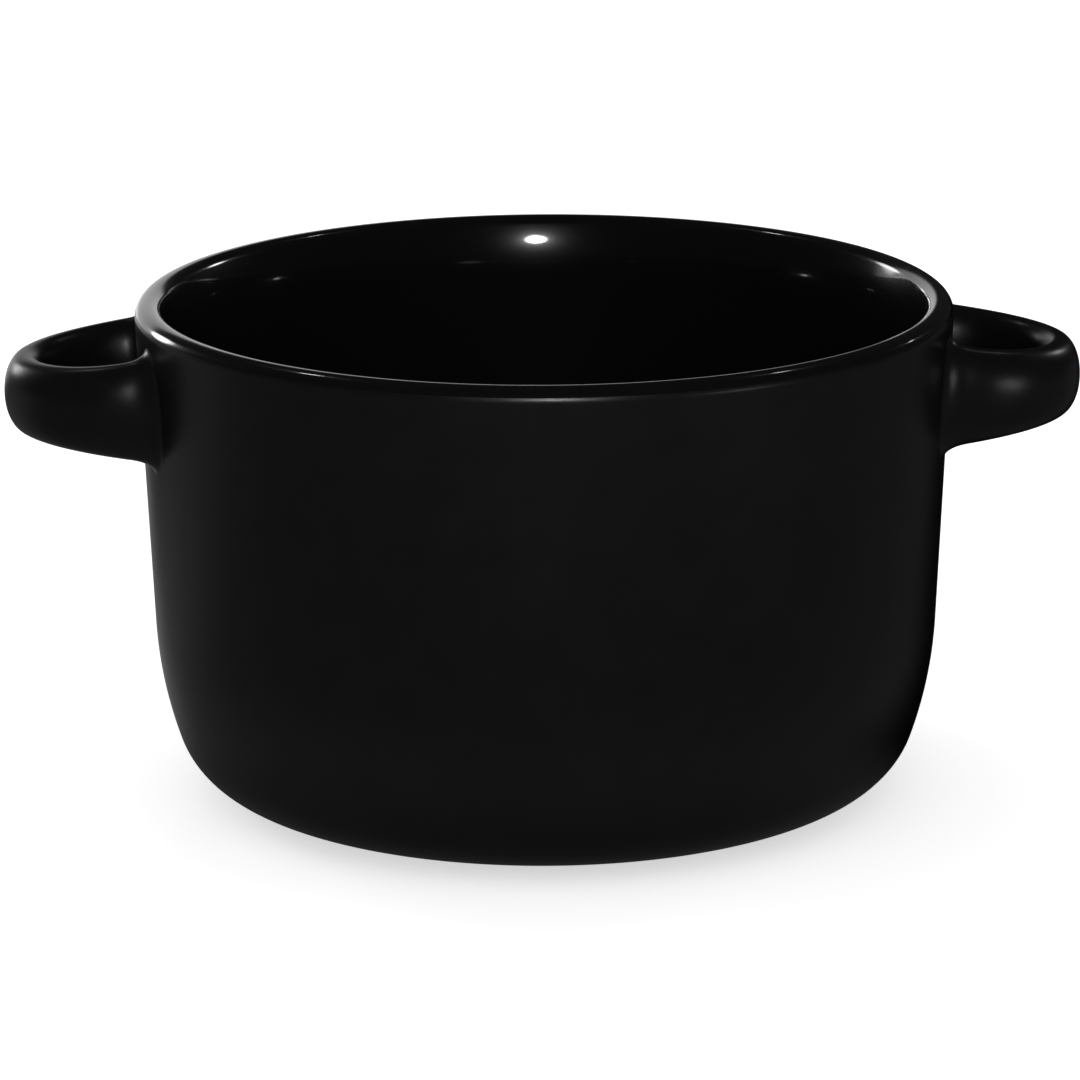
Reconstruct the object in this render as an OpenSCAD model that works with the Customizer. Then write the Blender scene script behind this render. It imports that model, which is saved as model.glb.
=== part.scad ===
// Onion soup crock: a round stoneware bowl with two looped strap handles.
// Frame: +Z up, the foot ring stands on Z = 0, the axis of the bowl is the Z axis,
// and the handles lie along X. The front of the crock faces -Y.

/* [Bowl] */
// Outer diameter across the rim
rim_d = 120; // [100:1:160]
// Height from the table to the top of the lip
crock_h = 73.8; // [64:0.1:100]
// Thickness of the glazed wall, which is also the width of the rounded lip
wall_t = 4.2; // [3.4:0.1:6]
// Thickness of the glazed floor
floor_t = 5; // [3.6:0.1:8]
// Lean of the wall from upright, in degrees
wall_lean = 2.56; // [1:0.02:5]
// Radius of the long curve low on the outer wall
belly_r = 60.8; // [40:0.2:90]
// Angle that the long curve turns through, in degrees
belly_turn = 16.2; // [8:0.1:20]
// Radius of the heel, where the outer wall rolls under
heel_r = 12; // [8:0.5:16]
// Radius inside, where the wall meets the floor
bowl_r = 16; // [10:0.5:24]

/* [Foot] */
// Height of the bare foot ring below the heel
foot_h = 0.6; // [0.3:0.1:1.5]
// Width of the foot ring's bearing face
foot_w = 4; // [2:0.1:8]
// Distance of the foot ring inside the place where the heel turns level
foot_inset = 1; // [0:0.1:4]
// Depth of the recess inside the foot ring, from the table
recess_d = 2; // [1.6:0.1:3]

/* [Glaze] */
// Thickness of every coat of glaze
glaze_t = 0.4; // [0.2:0.05:0.6]
// Height of the line between gloss and matte above the middle of the lip
gloss_line = 0.75; // [0:0.05:1.2]

/* [Handles] */
// Reach of a handle beyond the rim
handle_reach = 19.3; // [16:0.1:26]
// Width of the loop between the middles of its two legs
loop_w = 30; // [22:0.2:36]
// Length of a leg's straight stretch beyond the rim
leg_l = 0.4; // [0:0.1:6]
// Thickness of the strap
strap_t = 6.2; // [4.5:0.1:7]
// Height of the strap at its outer end
strap_h = 11.3; // [9:0.1:15]
// Height of the strap at the wall
root_h = 15.4; // [9:0.1:18]
// Depth of the strap's middle below the top of the lip
handle_drop = 13; // [12:0.1:24]
// Squareness of the strap's oval section: 2 is an ellipse, more is squarer
strap_power = 2.1; // [2:0.1:4]
// How quickly the strap's height eases off away from the wall
root_ease = 1.4; // [1:0.1:3]

/* [Slip joints] */
// Radius of the slip fillet where a leg of a handle meets the wall
slip_r = 1.8; // [1:0.1:2.4]

/* [Hidden] */

clay_colour = "#b59f86";
gloss_colour = "#0b0b0c";
matte_colour = "#1a1a1b";

// Points around a strap's section, and steps along a bend and across a fillet
section_n = 24;
bend_n = 24;
fillet_n = 6;
// Greatest gap between a curve of the bowl's section and its chords
arc_sag = 0.01;
$fn = 128;

rim_r = rim_d / 2;
lip_r = wall_t / 2;
lip_c = [rim_r - lip_r, crock_h - lip_r];
gloss_z = lip_c.y + gloss_line;
floor_z = recess_d + floor_t;
heel_turn = wall_lean + belly_turn;

// Centres of the outer curves: each is tangent to the next, and the heel rests level at foot_h
belly_z = foot_h + heel_r + (belly_r - heel_r) * sin(heel_turn);
belly_c = [wall_x(belly_z, -belly_r), belly_z];
heel_c = belly_c + (belly_r - heel_r) * down_and_out(heel_turn);

// Centre of the curve inside, tangent to the inner wall and the floor
bowl_c = [wall_x(floor_z + bowl_r, -wall_t - bowl_r), floor_z + bowl_r];

foot_out_r = heel_c.x - foot_inset;
foot_in_r = foot_out_r - foot_w;

handle_z = crock_h - handle_drop;
tip_x = rim_r + handle_reach - strap_t / 2;
bend_x = rim_r + leg_l;
bend_l = tip_x - bend_x;
leg_y = loop_w / 2;
// The slip's edge stands a little proud of the wall, and the slip runs on a little past its fillet
slip_edge = slip_r / 12;
slip_l = slip_r * 1.2;
// The strap eases from root_h to strap_h over its whole reach
ease_l = tip_x - wall_x(handle_z, 0);

// Unit vector square to a wall that leans by the angle a
function down_and_out(a) = [cos(a), -sin(a)];

// Radius at height z of the surface that lies s outside the outer wall
function wall_x(z, s) = lip_c.x + (lip_r + s + (z - lip_c.y) * sin(wall_lean)) / cos(wall_lean);

function signed_pow(v, p) = sign(v) * pow(abs(v), p);

// Oval section of a strap, as [across, up] shares of its half sizes
oval = [
    for (i = [0 : section_n - 1])
        let (a = 360 * i / section_n)
        [signed_pow(cos(a), 2 / strap_power), signed_pow(sin(a), 2 / strap_power)]
];

// Half height of the strap at a distance s from the wall
function half_height(s) =
    strap_h / 2 + (root_h - strap_h) / 2 * pow(max(0, 1 - max(0, s) / ease_l), root_ease);

// Section of the strap at a plan point p with the outward plan direction n, g inside its surface
function strap_ring(p, n, g) = [
    for (o = oval)
        let (q = p + n * o.x * (strap_t / 2 - g))
        let (s = norm(q) - wall_x(handle_z, 0))
        [q.x, q.y, handle_z + o.y * (half_height(s) - g)]
];

// Sections of one loop, from inside the wall out along the front leg, round the bend and back
leg_in_x = rim_r / 2;
function loop_rings(g) = concat(
    [for (t = [0 : 1 / 8 : 7 / 8]) strap_ring([leg_in_x + (bend_x - leg_in_x) * t, -leg_y], [0, -1], g)],
    [
        for (i = [0 : bend_n])
            let (a = -90 + 180 * i / bend_n)
            let (n = [cos(a) / bend_l, sin(a) / leg_y])
            strap_ring([bend_x + bend_l * cos(a), leg_y * sin(a)], n / norm(n), g)
    ],
    [for (t = [7 / 8 : -1 / 8 : 0]) strap_ring([leg_in_x + (bend_x - leg_in_x) * t, leg_y], [0, 1], g)]
);

// Growth of the slip fillet at a distance s from the glazed wall
function slip_growth(s) =
    let (t = min(max(0, (s - slip_edge) / (slip_r - slip_edge)), 1))
    slip_r * (1 - sqrt(1 - (1 - t) * (1 - t)));

// Outline of a slip joint on the surface that lies s outside the wall, for the leg at y
function slip_ring(y, s) = [
    for (o = oval)
        let (z = handle_z + o.y * (half_height(s) + slip_growth(s)))
        let (across = y - o.x * (strap_t / 2 + slip_growth(s)))
        [sqrt(pow(wall_x(z, s), 2) - across * across), across, z]
];

// Closed skin through a list of rings that all have the same number of points
module skin(rings) {
    n = len(rings[0]);
    m = len(rings);
    first = n * m;
    last = first + 1;
    ends = [
        [for (k = [0 : 2]) sum_of(rings[0], k) / n],
        [for (k = [0 : 2]) sum_of(rings[m - 1], k) / n]
    ];
    sides = [
        for (i = [0 : m - 2], j = [0 : n - 1])
            let (a = i * n + j, b = i * n + (j + 1) % n)
            each [[a, b, b + n], [a, b + n, a + n]]
    ];
    first_cap = [for (j = [0 : n - 1]) [first, (j + 1) % n, j]];
    last_cap = [for (j = [0 : n - 1]) [last, (m - 1) * n + j, (m - 1) * n + (j + 1) % n]];
    polyhedron(concat([for (r = rings) each r], ends), concat(sides, first_cap, last_cap));
}

function sum_of(ring, k) = [for (p = ring) p[k]] * [for (p = ring) 1];

// Points on the arc of radius r about c from the angle a to the angle b, from the given step on
function arc(c, r, a, b, from = 0) =
    let (n = ceil(abs(b - a) / (2 * acos(1 - arc_sag / r))))
    [for (i = [from : n]) let (t = a + (b - a) * i / n) c + r * [cos(t), sin(t)]];

// Half section of the bowl without its foot, g inside its glazed surface
module bowl_section(g) {
    polygon(concat(
        [[0, foot_h + g]],
        arc(heel_c, heel_r - g, -90, -heel_turn),
        arc(belly_c, belly_r - g, -heel_turn, -wall_lean, 1),
        arc(lip_c, lip_r - g, -wall_lean, 180 - wall_lean),
        arc(bowl_c, bowl_r + g, -wall_lean, -90),
        [[0, floor_z - g]]
    ));
}

// Half section of every coat on the bowl
module coat_section() {
    difference() {
        bowl_section(0);
        bowl_section(glaze_t);
    }
}

// Everything on the eating side of the middle of the wall, and above the gloss line
module inner_side() {
    mid = heel_r - wall_t / 2;
    above = crock_h + wall_t;
    beyond = rim_r + wall_t;
    polygon([
        [0, heel_c.y - mid],
        heel_c + mid * [0, -1],
        heel_c + mid * down_and_out((90 + heel_turn) / 2),
        heel_c + mid * down_and_out(heel_turn),
        belly_c + (belly_r - wall_t / 2) * down_and_out(wall_lean),
        lip_c,
        [lip_c.x, gloss_z],
        [beyond, gloss_z],
        [beyond, above],
        [0, above]
    ]);
}

// Solid within the surface that lies s outside the outer wall, over the height of a handle
module wall_plug(s) {
    low = handle_z - root_h;
    high = handle_z + root_h;
    translate([0, 0, low])
        cylinder(h = high - low, r1 = wall_x(low, s), r2 = wall_x(high, s));
}

// Flared root of one leg, run on into the wall and out past the end of the slip
module slip_root(y) {
    bite = wall_t / 4;
    steps = [for (i = [0 : fillet_n]) slip_edge + (slip_r - slip_edge) * i / fillet_n];
    skin([for (s = concat([-glaze_t - bite], steps, [slip_l + bite])) slip_ring(y, s)]);
}

// One of a pair of like pieces: the right one lies along +X, the left one half a turn away
module on_side(side) {
    rotate([0, 0, side == "right" ? 0 : 180]) children();
}

module stoneware_body() {
    color(clay_colour)
        rotate_extrude()
            difference() {
                union() {
                    bowl_section(glaze_t);
                    translate([foot_in_r, 0]) square([foot_w, floor_z / 2]);
                }
                square([foot_in_r, recess_d + glaze_t]);
            }
}

module gloss_lining_glaze() {
    color(gloss_colour)
        rotate_extrude()
            intersection() {
                coat_section();
                inner_side();
            }
}

module matte_wall_glaze() {
    color(matte_colour)
        difference() {
            rotate_extrude()
                difference() {
                    coat_section();
                    inner_side();
                    square([foot_out_r, heel_c.y]);
                }
            for (side = ["left", "right"], y = [-leg_y, leg_y]) on_side(side) slip_root(y);
        }
}

module matte_base_glaze() {
    color(matte_colour)
        translate([0, 0, recess_d])
            cylinder(h = glaze_t, r = foot_in_r);
}

module handle(side) {
    color(clay_colour)
        on_side(side)
            difference() {
                skin(loop_rings(glaze_t));
                wall_plug(slip_l);
            }
}

module handle_glaze(side) {
    color(matte_colour)
        on_side(side)
            difference() {
                skin(loop_rings(0));
                skin(loop_rings(glaze_t));
                wall_plug(slip_l);
            }
}

module handle_slip_joints(side) {
    color(matte_colour)
        on_side(side)
            for (y = [-leg_y, leg_y])
                difference() {
                    intersection() {
                        slip_root(y);
                        wall_plug(slip_l);
                    }
                    wall_plug(-glaze_t);
                }
}

stoneware_body();
gloss_lining_glaze();
matte_wall_glaze();
matte_base_glaze();
handle("left");  // left_handle
handle("right");  // right_handle
handle_glaze("left");  // left_handle_glaze
handle_glaze("right");  // right_handle_glaze
handle_slip_joints("left");  // left_handle_slip_joints
handle_slip_joints("right");  // right_handle_slip_joints
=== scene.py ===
"""Onion soup crock in black stoneware: satin matte outside, gloss inside and over the lip."""

import math

import bpy
import numpy as np
from mathutils import Matrix, Vector


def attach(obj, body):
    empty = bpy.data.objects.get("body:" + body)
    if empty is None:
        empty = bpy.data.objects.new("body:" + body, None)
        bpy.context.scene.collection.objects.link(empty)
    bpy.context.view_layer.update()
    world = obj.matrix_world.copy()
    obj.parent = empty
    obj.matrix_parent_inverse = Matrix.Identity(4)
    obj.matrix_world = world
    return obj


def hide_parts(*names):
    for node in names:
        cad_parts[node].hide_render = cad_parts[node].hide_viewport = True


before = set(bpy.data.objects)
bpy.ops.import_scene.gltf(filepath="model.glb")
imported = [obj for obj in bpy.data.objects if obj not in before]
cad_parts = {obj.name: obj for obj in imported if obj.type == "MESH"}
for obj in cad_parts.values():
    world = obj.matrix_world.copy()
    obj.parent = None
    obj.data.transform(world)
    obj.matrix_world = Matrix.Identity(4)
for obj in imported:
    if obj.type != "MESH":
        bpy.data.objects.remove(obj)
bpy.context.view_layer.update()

MM = 0.001

# Sizes of the crock in millimetres, as the solids have them
CROCK_H = 73.8
RIM_R = 60.0
WALL_T = 4.2
FLOOR_T = 5.0
WALL_LEAN = math.radians(2.56)
BELLY_R = 60.8
BELLY_TURN = math.radians(16.2)
HEEL_R = 12.0
BOWL_R = 16.0
FOOT_H = 0.6
FOOT_W = 4.0
FOOT_INSET = 1.0
RECESS_D = 2.0
GLAZE_T = 0.4
# The gloss glaze ends this far above the centre of the lip's rounding
GLOSS_LINE = 0.75
HANDLE_REACH = 19.3
LOOP_W = 30.0
LEG_L = 0.4
STRAP_T = 6.2
STRAP_H = 11.3
ROOT_H = 15.4
HANDLE_DROP = 13.0
# Powers of the strap's section and of its growth towards the root
STRAP_POWER = 2.1
ROOT_EASE = 1.4
SLIP_R = 1.8

# Sizes of the scene alone. Inside, the lip rolls over a small radius, then flares by a long one to the inner
# wall, which leans less than the outer one
LIP_IN_R = 1.8
FLARE_R = 27.4
FLARE_TOP = math.radians(18.0)
FLARE_END = math.radians(1.71)
# Rounding of the foot ring's edges
FOOT_EDGE = 0.35
# The slip is smeared out along the leg to this length
SLIP_L = 4.2
# Under the wall's glaze the slip swells by the first of these, and still by the second just under its surface
SLIP_SWELL = 0.3
SLIP_HEM = 0.2
# The slip's end runs on under the leg's glaze in two steps of this length
SLIP_END = 0.3
# How far a hidden border of one piece lies under the surface that it joins
TUCK = 0.02

# Steps round the crock, round a strap's section, along a handle's bend and leg, and up a fillet
TURN_N = 256
SECTION_N = 96
BEND_N = 120
LEG_N = 24
FILLET_N = 40
# Rounds in which places that depend on each other are worked out
STRAP_ROUNDS = 4
SLIP_ROUNDS = 3
# Two points of a path that are nearer than this, in millimetres, are one
SAME_POINT = 1e-4
# Edges that turn by more than this are shaded sharp
SHARP_EDGE = math.radians(50)

lip_r = WALL_T / 2
lip_c = np.array([RIM_R - lip_r, CROCK_H - lip_r])
floor_z = RECESS_D + FLOOR_T
heel_turn = WALL_LEAN + BELLY_TURN


def out_from(lean):
    """Unit vector [radius, height] square to an outer wall that leans by the angle."""
    return np.array([math.cos(lean), -math.sin(lean)])


def wall_x(z, s=0.0):
    """Radius at height z of the straight outer wall's surface, moved out by s: a line at the wall's lean that
    touches the lip's circle."""
    return lip_c[0] + (lip_r + s + (z - lip_c[1]) * math.sin(WALL_LEAN)) / math.cos(WALL_LEAN)


belly_z = FOOT_H + HEEL_R + (BELLY_R - HEEL_R) * math.sin(heel_turn)
belly_c = np.array([wall_x(belly_z, -BELLY_R), belly_z])
heel_c = belly_c + (BELLY_R - HEEL_R) * out_from(heel_turn)
bowl_c = np.array([wall_x(floor_z + BOWL_R, -WALL_T - BOWL_R), floor_z + BOWL_R])
foot_out_r = heel_c[0] - FOOT_INSET
foot_in_r = foot_out_r - FOOT_W

handle_z = CROCK_H - HANDLE_DROP
tip_x = RIM_R + HANDLE_REACH - STRAP_T / 2
bend_x = RIM_R + LEG_L
bend_l = tip_x - bend_x
leg_y = LOOP_W / 2
ease_l = tip_x - wall_x(handle_z)


def arc(centre, radius, start, end, steps):
    """Points on a circle from one angle to another, in radians."""
    t = np.linspace(start, end, steps + 1)[:, None]
    return centre + radius * np.hstack([np.cos(t), np.sin(t)])


def line(start, end, steps):
    """Evenly spaced points on a straight line."""
    t = np.linspace(0, 1, steps + 1)[:, None]
    return np.asarray(start) * (1 - t) + np.asarray(end) * t


def joined(*paths):
    """Paths one after another, with points that repeat the one before left out."""
    path = np.vstack(paths)
    step = np.linalg.norm(np.diff(path, axis=0), axis=1)
    return path[np.concatenate([[True], step > SAME_POINT])]


def directions(path):
    """Unit vectors along a path at its points, each from the points on either side."""
    along = np.gradient(path, axis=0)
    return along / np.linalg.norm(along, axis=1)[:, None]


def inset(path, depth):
    """Each point of a path moved to the left of its direction, square to the path, by the depth."""
    along = directions(path)
    return path + depth * np.stack([-along[:, 1], along[:, 0]], axis=1)


def lip_inside(steps):
    """Inner half of the lip, from its top: an arc of the small radius, and one of the long radius that is
    tangent to it."""
    roll_c = np.array([lip_c[0], CROCK_H - LIP_IN_R])
    flare_c = roll_c - (FLARE_R - LIP_IN_R) * np.array([-math.cos(FLARE_TOP), math.sin(FLARE_TOP)])
    return joined(
        arc(roll_c, LIP_IN_R, math.pi / 2, math.pi - FLARE_TOP, steps),
        arc(flare_c, FLARE_R, math.pi - FLARE_TOP, math.pi - FLARE_END, steps),
    )


gloss_angle = math.asin(GLOSS_LINE / lip_r)
# Paths in [radius, height], run with the clay on their left
outer_path = joined(
    line([foot_out_r, FOOT_H], [heel_c[0], FOOT_H], steps=3),
    arc(heel_c, HEEL_R, -math.pi / 2, -heel_turn, steps=36),
    arc(belly_c, BELLY_R, -heel_turn, -WALL_LEAN, steps=24),
    line(belly_c + BELLY_R * out_from(WALL_LEAN), lip_c + lip_r * out_from(WALL_LEAN), steps=40),
    arc(lip_c, lip_r, -WALL_LEAN, gloss_angle, steps=6),
)
lip_path = lip_inside(steps=36)
inner_path = joined(
    arc(lip_c, lip_r, gloss_angle, math.pi / 2, steps=32),
    lip_path,
    line(lip_path[-1], bowl_c + BOWL_R * out_from(WALL_LEAN), steps=24),
    arc(bowl_c, BOWL_R, -WALL_LEAN, -math.pi / 2, steps=40),
    line([bowl_c[0], floor_z], [0, floor_z], steps=12),
)


def add_mesh(name, points, faces):
    """Mesh object from points in millimetres and a list of face index arrays, shaded smooth."""
    mesh = bpy.data.meshes.new(name)
    mesh.from_pydata((points * MM).tolist(), [], [f for part in faces for f in part.tolist()])
    mesh.shade_smooth()
    mesh.set_sharp_from_angle(angle=SHARP_EDGE)
    piece = bpy.data.objects.new(name, mesh)
    bpy.context.scene.collection.objects.link(piece)
    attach(piece, "root")
    return piece


def strip_faces(rows, columns, close_rows):
    """Quads between neighbouring points of a grid whose rows are closed rings. Where close_rows is true the
    last row joins the first."""
    row = np.arange(rows if close_rows else rows - 1)[:, None]
    here = np.arange(columns)
    beside = (here + 1) % columns
    this_row = row * columns
    next_row = (row + 1) % rows * columns
    corners = (this_row + here, this_row + beside, next_row + beside, next_row + here)
    return np.stack([corner.ravel() for corner in corners], axis=1)


def cap_faces(first, columns, centre, flip):
    """Triangles from a ring of points, given by its first one, to its centre. Flip turns them round."""
    j = np.arange(columns)
    ring = np.stack([first + j, first + (j + 1) % columns, np.full(columns, centre)], axis=1)
    return ring[:, ::-1] if flip else ring


def turned(name, path):
    """A path [radius, height] turned about the Z axis: x = r cos a, y = r sin a. A path that starts and ends
    on the axis closes there in two poles, and any other one closes on itself."""
    on_axis = path[0, 0] < SAME_POINT
    rings = path[1:-1] if on_axis else path
    a = np.linspace(0, 2 * math.pi, TURN_N, endpoint=False)
    r, z = rings[:, :1], rings[:, 1:]
    grid = np.stack([r * np.cos(a), r * np.sin(a), z + 0 * a], axis=2)
    points = grid.reshape(-1, 3)
    faces = [strip_faces(len(rings), TURN_N, not on_axis)]
    if on_axis:
        poles = np.array([[0, 0, path[0, 1]], [0, 0, path[-1, 1]]])
        faces.append(cap_faces(0, TURN_N, len(points), True))
        faces.append(cap_faces((len(rings) - 1) * TURN_N, TURN_N, len(points) + 1, False))
        points = np.vstack([points, poles])
    return add_mesh(name, points, faces)


def oval():
    """Shares [across, up] of a strap's half sizes round its section, a superellipse: each is the cosine or
    sine raised to 2 over the power, sign kept."""
    t = np.linspace(0, -2 * math.pi, SECTION_N, endpoint=False)
    both = np.stack([np.cos(t), np.sin(t)], axis=1)
    return np.sign(both) * np.abs(both) ** (2 / STRAP_POWER)


def half_height(s):
    """Half of the strap's height at a distance s from the wall: the strap's own, and what the root has more
    times a power of the share of the way that is left to the loop's tip."""
    share = np.clip(1 - np.maximum(s, 0) / ease_l, 0, 1)
    return STRAP_H / 2 + (ROOT_H - STRAP_H) / 2 * share ** ROOT_EASE


def strap_surface(plan, across, depth):
    """Rings of a strap along a plan path, each the oval section set square to the path and upright, at a
    depth under the surface. The height at a point follows its distance from the wall."""
    o = oval()
    xy = plan[:, None, :] + across[:, None, :] * o[None, :, :1] * (STRAP_T / 2 - depth)
    reach = np.linalg.norm(xy, axis=2)
    z = np.full(reach.shape, handle_z)
    for _ in range(STRAP_ROUNDS):
        z = handle_z + o[:, 1] * (half_height(reach - wall_x(z)) - depth)
    return np.dstack([xy, z])


def loop_plan(inner_x):
    """Plan path of a handle's loop, with its outward normals: the front leg, half an ellipse and the back
    leg."""
    a = np.linspace(-math.pi / 2, math.pi / 2, BEND_N + 1)
    bend = np.stack([bend_x + bend_l * np.cos(a), leg_y * np.sin(a)], axis=1)
    plan = joined(
        line([inner_x, -leg_y], [bend_x, -leg_y], LEG_N),
        bend,
        line([bend_x, leg_y], [inner_x, leg_y], LEG_N),
    )
    along = directions(plan)
    return plan, np.stack([along[:, 1], -along[:, 0]], axis=1)


def facing(points, side):
    """Points of a right-hand piece, or the same ones half a turn round the crock for the left."""
    return points if side == "right" else points * [-1, -1, 1]


def handle_coat(side):
    """Glaze of one handle: the strap's surface out along the loop, and back a coat's thickness under it."""
    plan, across = loop_plan(wall_x(handle_z) - GLAZE_T)
    over, under = strap_surface(plan, across, 0), strap_surface(plan, across, GLAZE_T)
    rings = np.concatenate([over, under[::-1]])
    faces = strip_faces(len(rings), SECTION_N, True)
    return add_mesh(side + "_handle_matte_glaze", facing(rings.reshape(-1, 3), side), [faces])


def slip_rings(y, profile):
    """Rings of a slip joint round the leg at y. The profile gives each ring's distance from the wall and how
    far it stands out from the leg, and the ring lies on the wall's surface moved out by that distance. Where
    the leg starts to bend, the ring moves over with it."""
    o = oval()
    s, growth = profile[:, :1], profile[:, 1:]
    z = handle_z + o[None, :, 1] * (half_height(s) + growth)
    off = -o[None, :, 0] * (STRAP_T / 2 + growth)
    across = y + off
    for _ in range(SLIP_ROUNDS):
        x = np.sqrt(wall_x(z, s) ** 2 - across ** 2)
        across = y * np.sqrt(1 - np.clip((x - bend_x) / bend_l, 0, 1) ** 2) + off
    return np.dstack([x, across, z])


def slip_joints(side):
    """The two beads of slip at the roots of one handle. Each runs under the wall's glaze, up a fillet that is
    tangent to the wall and dies away into the leg, and just under the leg's glaze. The fillet is like a
    quarter of an ellipse, with the cosine along the leg raised to two thirds."""
    t = np.linspace(0, math.pi / 2, FILLET_N + 1)
    fillet = np.stack([SLIP_L * (1 - np.cos(t).clip(0) ** (2 / 3)), SLIP_R * (1 - np.sin(t))], axis=1)
    root = [[-GLAZE_T, SLIP_R], [-GLAZE_T / 2, SLIP_R + SLIP_SWELL], [-TUCK, SLIP_R + SLIP_HEM]]
    end_l = SLIP_L + 2 * SLIP_END
    end = [[SLIP_L + SLIP_END, -TUCK], [end_l, -2 * TUCK], [end_l, -GLAZE_T]]
    profile = np.vstack([root, fillet, end])
    points, faces, count = [], [], 0
    for y in (-leg_y, leg_y):
        rings = slip_rings(y, profile)
        solid = np.vstack([rings.reshape(-1, 3), rings[0].mean(axis=0), rings[-1].mean(axis=0)])
        n = len(rings) * SECTION_N
        faces.append(count + strip_faces(len(rings), SECTION_N, False))
        faces.append(count + cap_faces(0, SECTION_N, n, True))
        faces.append(count + cap_faces(n - SECTION_N, SECTION_N, n + 1, False))
        points.append(solid)
        count += len(solid)
    return add_mesh(side + "_handle_slip", facing(np.vstack(points), side), faces)


def linear(hex_colour):
    """Linear colour of an sRGB hex value, by the sRGB curve."""
    c = np.array([int(hex_colour[i:i + 2], 16) for i in (1, 3, 5)]) / 255
    c = np.where(c <= 0.04045, c / 12.92, ((c + 0.055) / 1.055) ** 2.4)
    return (*c.tolist(), 1.0)


def add_node(tree, kind, settings=None, inputs=None):
    """A node with its settings and inputs. An input is a plain value or another node's output socket."""
    node = tree.nodes.new(kind)
    for name, value in (settings or {}).items():
        setattr(node, name, value)
    for name, value in (inputs or {}).items():
        if isinstance(value, bpy.types.NodeSocket):
            tree.links.new(value, node.inputs[name])
        else:
            node.inputs[name].default_value = value
    return node


def new_material(name):
    """Node material with no nodes in it yet, and its node tree."""
    material = bpy.data.materials.new(name)
    material.use_nodes = True
    material.node_tree.nodes.clear()
    return material, material.node_tree


def gloss_black_glaze():
    """Gloss black stoneware glaze, dipped and fired: a smooth glass that mirrors lamps sharply, over a black
    with fine bubbles in it, which puts a weak haze round each lamp. It flowed as it melted, which leaves
    waves a few millimetres long, too shallow to see but for their reflections."""
    material, tree = new_material("gloss_black_stoneware_glaze")
    wave_mm, wave_depth_mm = 9.0, 0.02
    place = add_node(tree, "ShaderNodeTexCoord").outputs["Object"]
    waves = add_node(tree, "ShaderNodeTexNoise", inputs={
        "Vector": place, "Scale": 1 / (wave_mm * MM), "Detail": 2.0})
    bump = add_node(tree, "ShaderNodeBump", inputs={
        "Height": waves.outputs["Fac"], "Strength": 1.0, "Distance": wave_depth_mm * MM})
    shader = add_node(tree, "ShaderNodeBsdfPrincipled", inputs={
        "Base Color": linear("#0b0b0b"), "Roughness": 0.2, "IOR": 1.25, "Normal": bump.outputs["Normal"],
        "Coat Weight": 1.0, "Coat Roughness": 0.05, "Coat IOR": 1.5, "Coat Normal": bump.outputs["Normal"]})
    add_node(tree, "ShaderNodeOutputMaterial", inputs={"Surface": shader.outputs["BSDF"]})
    return material


def matte_black_glaze():
    """Satin matte black stoneware glaze, sprayed and fired: fine crystals on the surface scatter the light,
    so lamps show as soft patches. The spray leaves a faint mottle, and the crystals a fine grain."""
    material, tree = new_material("satin_matte_black_stoneware_glaze")
    mottle_mm, grain_mm, grain_depth_mm = 6.0, 0.5, 0.01
    place = add_node(tree, "ShaderNodeTexCoord").outputs["Object"]
    mottle = add_node(tree, "ShaderNodeTexNoise", inputs={
        "Vector": place, "Scale": 1 / (mottle_mm * MM), "Detail": 4.0, "Roughness": 0.6})
    grain = add_node(tree, "ShaderNodeTexNoise", inputs={
        "Vector": place, "Scale": 1 / (grain_mm * MM), "Detail": 3.0, "Roughness": 0.6})
    colour = add_node(tree, "ShaderNodeMix", {"data_type": "RGBA"}, {
        "Factor": mottle.outputs["Fac"], "A": linear("#0b0b0b"), "B": linear("#121212")})
    rough = add_node(tree, "ShaderNodeMapRange", inputs={
        "Value": mottle.outputs["Fac"], "From Min": 0.3, "From Max": 0.7, "To Min": 0.28, "To Max": 0.32})
    bump = add_node(tree, "ShaderNodeBump", inputs={
        "Height": grain.outputs["Fac"], "Strength": 1.0, "Distance": grain_depth_mm * MM})
    shader = add_node(tree, "ShaderNodeBsdfPrincipled", inputs={
        "Base Color": colour.outputs["Result"], "Roughness": rough.outputs["Result"], "IOR": 1.48,
        "Normal": bump.outputs["Normal"]})
    add_node(tree, "ShaderNodeOutputMaterial", inputs={"Surface": shader.outputs["BSDF"]})
    return material


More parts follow.
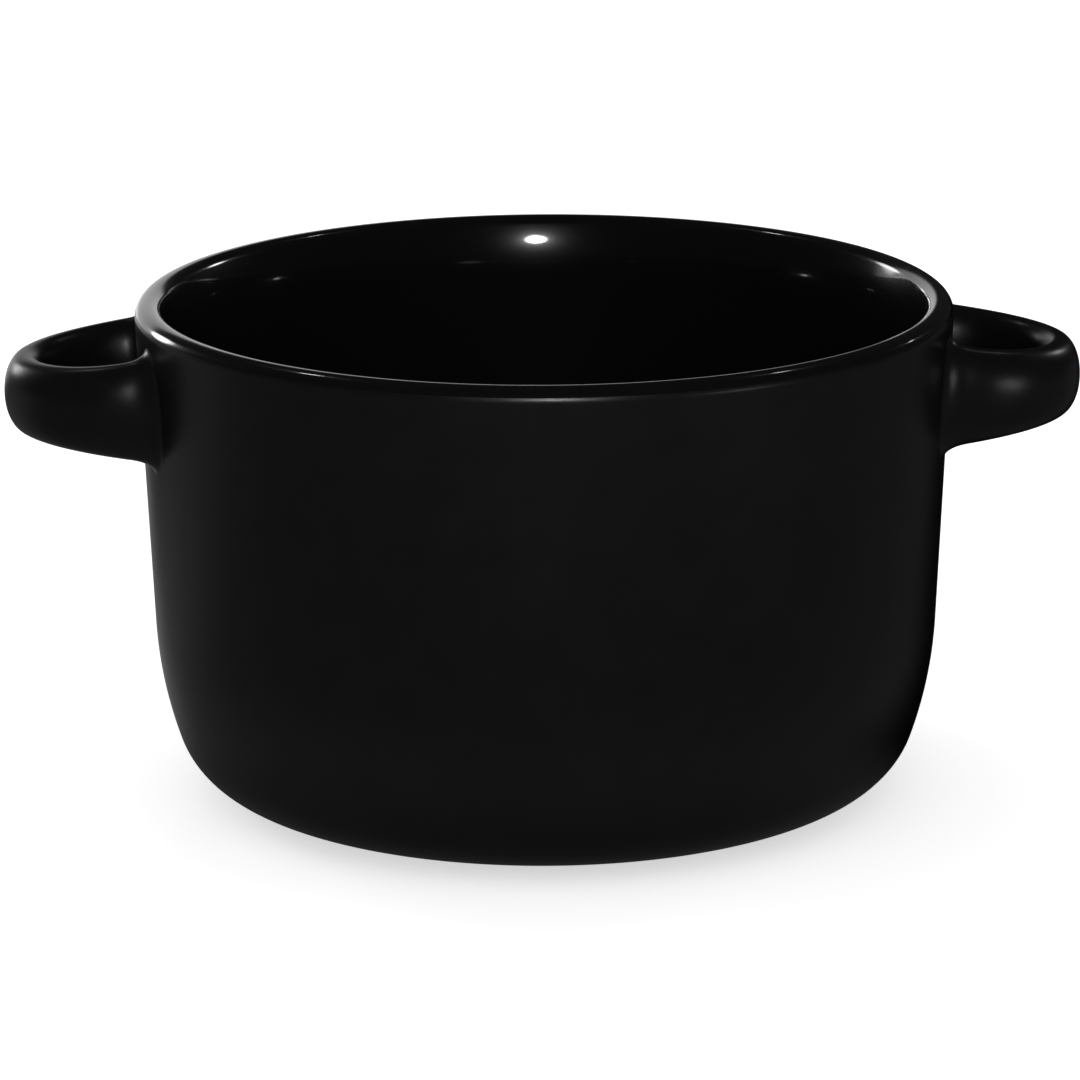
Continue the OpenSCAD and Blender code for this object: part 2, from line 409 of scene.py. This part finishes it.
def bare_stoneware():
    """Buff stoneware clay, fired and left bare: dry and dull, with darker specks of iron and a sandy
    tooth."""
    material, tree = new_material("bare_buff_stoneware")
    tooth_mm, tooth_depth_mm, speck_mm = 0.35, 0.06, 1.1
    place = add_node(tree, "ShaderNodeTexCoord").outputs["Object"]
    tooth = add_node(tree, "ShaderNodeTexNoise", inputs={
        "Vector": place, "Scale": 1 / (tooth_mm * MM), "Detail": 4.0, "Roughness": 0.65})
    speck = add_node(tree, "ShaderNodeTexVoronoi", inputs={"Vector": place, "Scale": 1 / (speck_mm * MM)})
    spots = add_node(tree, "ShaderNodeMapRange", inputs={
        "Value": speck.outputs["Distance"], "From Min": 0.1, "From Max": 0.2, "To Min": 1.0, "To Max": 0.0})
    tone = add_node(tree, "ShaderNodeMix", {"data_type": "RGBA"}, {
        "Factor": tooth.outputs["Fac"], "A": linear("#a8927a"), "B": linear("#c0ab92")})
    colour = add_node(tree, "ShaderNodeMix", {"data_type": "RGBA"}, {
        "Factor": spots.outputs["Result"], "A": tone.outputs["Result"], "B": linear("#6b5644")})
    bump = add_node(tree, "ShaderNodeBump", inputs={
        "Height": tooth.outputs["Fac"], "Strength": 1.0, "Distance": tooth_depth_mm * MM})
    shader = add_node(tree, "ShaderNodeBsdfPrincipled", inputs={
        "Base Color": colour.outputs["Result"], "Roughness": 0.9, "IOR": 1.5,
        "Normal": bump.outputs["Normal"]})
    add_node(tree, "ShaderNodeOutputMaterial", inputs={"Surface": shader.outputs["BSDF"]})
    return material


gloss, matte, clay = gloss_black_glaze(), matte_black_glaze(), bare_stoneware()


def dress(piece, material, slot, *nodes):
    """Gives a new piece its material, and hides the CAD nodes that it stands for. The slot is not used."""
    piece.data.materials.append(material)
    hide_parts(*nodes)


under_outer, under_inner = inset(outer_path, GLAZE_T), inset(inner_path, GLAZE_T)
dress(turned("matte_wall_coat", joined(outer_path, under_outer[::-1])),
      matte, "matte_black_glaze", "matte_wall_glaze")
dress(turned("gloss_lining_coat", joined(under_inner[::-1], inner_path)),
      gloss, "gloss_black_glaze", "gloss_lining_glaze")

base_z = RECESS_D + GLAZE_T
foot_path = joined(
    line([0, base_z], [foot_in_r, base_z], steps=8),
    line([foot_in_r, base_z], [foot_in_r, FOOT_EDGE], steps=8),
    arc([foot_in_r + FOOT_EDGE, FOOT_EDGE], FOOT_EDGE, math.pi, 1.5 * math.pi, steps=6),
    arc([foot_out_r - FOOT_EDGE, FOOT_EDGE], FOOT_EDGE, -math.pi / 2, 0, steps=6),
    line([foot_out_r, FOOT_EDGE], [foot_out_r, FOOT_H + GLAZE_T], steps=4),
)
dress(turned("bare_stoneware_bowl", joined(foot_path, under_outer, under_inner)),
      clay, "bare_stoneware", "stoneware_body")

base_path = joined(
    line([0, RECESS_D], [foot_in_r, RECESS_D], steps=12),
    line([foot_in_r, RECESS_D], [foot_in_r, base_z], steps=2),
    line([foot_in_r, base_z], [0, base_z], steps=12),
)
dress(turned("matte_base_coat", base_path), matte, "matte_black_glaze", "matte_base_glaze")

for side in ("left", "right"):
    dress(handle_coat(side), matte, "matte_black_glaze", side + "_handle_glaze")
    dress(slip_joints(side), matte, "matte_black_glaze", side + "_handle_slip_joints")
    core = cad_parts[side + "_handle"]
    core.data.materials.clear()
    core.data.materials.append(clay)

# Camera of the photograph, in millimetres and radians: it looks down on the crock from a little to the left
CAMERA_TURN = math.radians(3.37)
CAMERA_FALL = 0.263
CAMERA_ROLL = math.radians(0.3)
CAMERA_FAR = 800.0
CAMERA_AIM = Vector((-0.79, 0.0, 36.38))
CAMERA_LENS = 179.5
SENSOR_W = 36.0

camera_data = bpy.data.cameras.new("camera")
camera_data.sensor_width = SENSOR_W
camera_data.lens = CAMERA_LENS
camera = bpy.data.objects.new("camera", camera_data)
forward = Vector((0, math.cos(CAMERA_FALL), -math.sin(CAMERA_FALL)))
camera.matrix_world = (
    Matrix.Rotation(-CAMERA_TURN, 4, "Z")
    @ Matrix.Translation((CAMERA_AIM - forward * CAMERA_FAR) * MM)
    @ forward.to_track_quat("-Z", "Y").to_matrix().to_4x4()
    @ Matrix.Rotation(-CAMERA_ROLL, 4, "Z")
)
bpy.context.scene.collection.objects.link(camera)
bpy.context.scene.camera = camera

middle_z = CROCK_H / 2


def add_lamp(name, azimuth, elevation, far, size, radiance, core=0.5, aim=(0, 0, middle_z), spread=180.0):
    """Soft oval lamp, seen from the crock at an azimuth (0 is the front, 90 the right) and an elevation in
    degrees, with its distance, size and aim in millimetres. Its brightness as a mirror shows it is the
    radiance, and outside the core, a share of the oval, it fades to the edge. A spread under 180 degrees is a
    grid on the lamp, which narrows its beam. Its power is pi times the radiance and the oval's area, less
    what the grid holds back."""
    a, e = math.radians(azimuth), math.radians(elevation)
    back = Vector((math.sin(a) * math.cos(e), -math.cos(a) * math.cos(e), math.sin(e)))
    data = bpy.data.lights.new(name, "AREA")
    data.shape = "ELLIPSE"
    data.size, data.size_y = size[0] * MM, size[1] * MM
    data.spread = math.radians(spread)
    half = data.spread / 2
    narrowing = 1 - half / math.tan(half) if spread < 180 else 1
    data.energy = radiance * math.pi * math.pi / 4 * data.size * data.size_y * narrowing
    data.use_nodes = True
    tree = data.node_tree
    tree.nodes.clear()
    spot = add_node(tree, "ShaderNodeNewGeometry").outputs["Parametric"]
    off = add_node(tree, "ShaderNodeVectorMath", {"operation": "DISTANCE"}, {0: spot, 1: (0.5, 0.5, 0.0)})
    fade = add_node(tree, "ShaderNodeMapRange", {"interpolation_type": "SMOOTHSTEP"}, {
        "Value": off.outputs["Value"], "From Min": core / 2, "From Max": 0.5, "To Min": 1.0, "To Max": 0.0})
    glow = add_node(tree, "ShaderNodeEmission", inputs={"Strength": fade.outputs["Result"]})
    add_node(tree, "ShaderNodeOutputLight", inputs={"Surface": glow.outputs["Emission"]})
    lamp = bpy.data.objects.new(name, data)
    lamp.location = Vector((0, 0, middle_z * MM)) + back * far * MM
    lamp.visible_camera = False
    lamp.rotation_mode = "QUATERNION"
    lamp.rotation_quaternion = (Vector(aim) * MM - lamp.location).to_track_quat("-Z", "Y")
    bpy.context.scene.collection.objects.link(lamp)


# Each lamp stands where its mirror image in the glaze makes a highlight that the photograph shows
add_lamp("front_lamp", azimuth=-1, elevation=17, far=900, size=(130, 100), radiance=140.0,
         aim=(-8, 0, 72), spread=11.0)
add_lamp("left_lamp", azimuth=-137, elevation=14, far=1100, size=(320, 400), radiance=7.0)
add_lamp("grid_lamp", azimuth=124, elevation=20, far=500, size=(104, 150), radiance=18.0,
         aim=(-48, 30, 72), spread=12.0)
add_lamp("high_left_lamp", azimuth=-135, elevation=56, far=900, size=(70, 70), radiance=16.0)
add_lamp("high_right_lamp", azimuth=124, elevation=56, far=900, size=(60, 60), radiance=12.0)
add_lamp("handle_lamp", azimuth=120, elevation=24, far=366, size=(50, 44), radiance=32.0,
         aim=(86, 0, 63), spread=8.0)
add_lamp("right_lamp", azimuth=52, elevation=5, far=400, size=(200, 14), radiance=24.0,
         aim=(73, -14, 60), spread=28.0)
add_lamp("back_panel", azimuth=-164, elevation=10, far=300, size=(380, 230), radiance=0.64, core=0.75)

WHITE = (1.0, 1.0, 1.0, 1.0)
# Glow that the floor adds for the camera
FLOOR_GLOW = 0.6
# Painted light and shade that the glaze sees on the floor, as a glow with no lamp. Each ramp has its
# direction in plan, or none for the distance from the crock's axis, then where it starts and ends in
# millimetres, and its two levels
PAINTED_FLOOR_LIGHT_RAMPS = {
    "round_crock": (None, 65, 150, 0.1, 0.055),
    "painted_foot_shadow": (None, 50, 78, 0.55, 1.0),
    "front_left": ((0.6, 0.8), 0, 40, 1.0, 0.0),
    "front_right": ((0.819, -0.574), 56, 86, 0.0, 1.0),
    "behind": ((0, 1), -10, 60, 0.0, 1.0),
    "on_left": ((1, 0), -60, -20, 1.0, 0.0),
    "back_wash": ((-1, -0.35), 35, 80, 0.4, 0.07),
}
# How the ramps are put together, two at a time
PAINTED_FLOOR_LIGHT_STEPS = (
    ("near", "MULTIPLY", "round_crock", "painted_foot_shadow"),
    ("lit", "MAXIMUM", "front_left", "front_right"),
    ("front", "MULTIPLY", "near", "lit"),
    ("back_left", "MULTIPLY", "behind", "on_left"),
    ("back", "MULTIPLY", "back_wash", "back_left"),
    ("tone", "ADD", "front", "back"),
)


def pale_floor():
    """Pale floor. The camera sees it nearly white, from a part glow, and it keeps the crock's shadow. For
    glossy rays it is instead a painted glow with no lamp: painted light round the crock, a painted shadow
    right under it, more painted light at the back on the left, and none at the back on the right, which the
    glaze shows as a painted reflection."""
    material, tree = new_material("pale_floor")
    ray = add_node(tree, "ShaderNodeLightPath").outputs
    pale = add_node(tree, "ShaderNodeBsdfDiffuse", inputs={"Color": linear("#f4f4f4")})
    glow = add_node(tree, "ShaderNodeMath", {"operation": "MULTIPLY"}, {
        0: ray["Is Camera Ray"], 1: FLOOR_GLOW})
    white = add_node(tree, "ShaderNodeEmission", inputs={"Color": WHITE, "Strength": glow.outputs["Value"]})
    seen = add_node(tree, "ShaderNodeAddShader", inputs={
        0: pale.outputs["BSDF"], 1: white.outputs["Emission"]})
    place = add_node(tree, "ShaderNodeTexCoord").outputs["Object"]
    level = {}
    for name, (way, start, end, low, high) in PAINTED_FLOOR_LIGHT_RAMPS.items():
        measure = add_node(tree, "ShaderNodeVectorMath", {"operation": "DOT_PRODUCT" if way else "LENGTH"}, {
            0: place})
        if way:
            measure.inputs[1].default_value = (*way, 0.0)
        ramp = add_node(tree, "ShaderNodeMapRange", {"interpolation_type": "SMOOTHSTEP"}, {
            "Value": measure.outputs["Value"], "From Min": start * MM, "From Max": end * MM,
            "To Min": low, "To Max": high})
        level[name] = ramp.outputs["Result"]
    for name, operation, first, second in PAINTED_FLOOR_LIGHT_STEPS:
        step = add_node(tree, "ShaderNodeMath", {"operation": operation}, {0: level[first], 1: level[second]})
        level[name] = step.outputs["Value"]
    # Painted reflection: the glaze sees the floor as this glow of painted light and painted shadow, not as a
    # floor lit by the lamps
    painted_floor_glow = add_node(tree, "ShaderNodeEmission", inputs={"Color": WHITE, "Strength": level["tone"]})
    mixed = add_node(tree, "ShaderNodeMixShader", inputs={
        0: ray["Is Glossy Ray"], 1: seen.outputs["Shader"], 2: painted_floor_glow.outputs["Emission"]})
    add_node(tree, "ShaderNodeOutputMaterial", inputs={"Surface": mixed.outputs["Shader"]})
    return material


# The floor lies just under the foot ring, so that the two faces don't coincide
FLOOR_R, FLOOR_Z = 4000.0, -0.05
corners = np.array([[-FLOOR_R, -FLOOR_R, FLOOR_Z], [FLOOR_R, -FLOOR_R, FLOOR_Z],
                    [FLOOR_R, FLOOR_R, FLOOR_Z], [-FLOOR_R, FLOOR_R, FLOOR_Z]])
floor_mesh = bpy.data.meshes.new("floor")
floor_mesh.from_pydata((corners * MM).tolist(), [], [[0, 1, 2, 3]])
floor = bpy.data.objects.new("floor", floor_mesh)
floor_mesh.materials.append(pale_floor())
bpy.context.scene.collection.objects.link(floor)

# Strength of the world: what lights the crock, what the glaze mirrors and what the camera sees
WORLD_FILL, WORLD_MIRRORED, WORLD_SEEN = 0.6, 0.015, 1.0


def studio_world():
    """World that lights the crock evenly, is nearly dark in the glaze and white to the camera."""
    world = bpy.data.worlds.new("studio")
    world.use_nodes = True
    tree = world.node_tree
    tree.nodes.clear()
    ray = add_node(tree, "ShaderNodeLightPath").outputs
    fill = add_node(tree, "ShaderNodeMix", inputs={
        "Factor": ray["Is Glossy Ray"], "A": WORLD_FILL, "B": WORLD_MIRRORED})
    level = add_node(tree, "ShaderNodeMix", inputs={
        "Factor": ray["Is Camera Ray"], "A": fill.outputs["Result"], "B": WORLD_SEEN})
    sky = add_node(tree, "ShaderNodeBackground", inputs={"Color": WHITE, "Strength": level.outputs["Result"]})
    add_node(tree, "ShaderNodeOutputWorld", inputs={"Surface": sky.outputs["Background"]})
    return world


bpy.context.scene.world = studio_world()
bpy.context.scene.view_settings.view_transform = "Standard"
